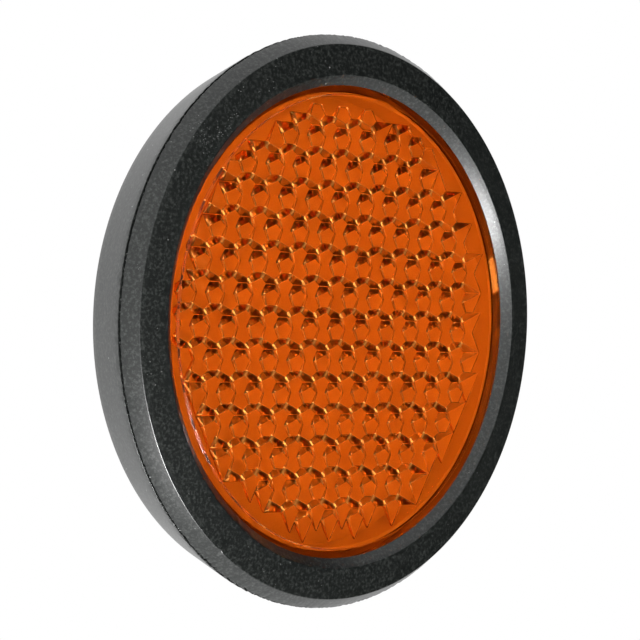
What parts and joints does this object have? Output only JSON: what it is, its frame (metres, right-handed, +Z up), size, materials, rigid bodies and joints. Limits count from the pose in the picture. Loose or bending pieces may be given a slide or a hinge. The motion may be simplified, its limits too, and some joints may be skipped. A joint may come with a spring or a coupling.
{
  "type": "round reflector",
  "caption": "Round amber prism reflector set in a black rubber surround with a sharp front ridge, held by a threaded stud with washer and nut at the back",
  "frame": {"origin": "on the reflector's axis, in the plane where the back of the rubber meets the panel", "axes": "the lens faces -Y, the stud points along +Y, +Z is up"},
  "size_m": [0.075, 0.027, 0.075],
  "materials": {
    "rubber": "moulded black rubber, satin, with a fine parting line and light dust",
    "amber_acrylic": "clear amber acrylic, polished front, corner-cube prisms behind",
    "white_abs": "white moulded plastic, which shines through the lens",
    "zinc_steel": "bright zinc-plated steel",
    "spring_steel": "darker plated spring steel"
  },
  "bodies": {
    "root": {"rubber_housing": "rubber", "lens": "amber_acrylic", "back_plate": "white_abs", "stud": "zinc_steel", "washer": "zinc_steel", "spring_washer": "spring_steel", "nut": "zinc_steel"}
  },
  "joints": []
}
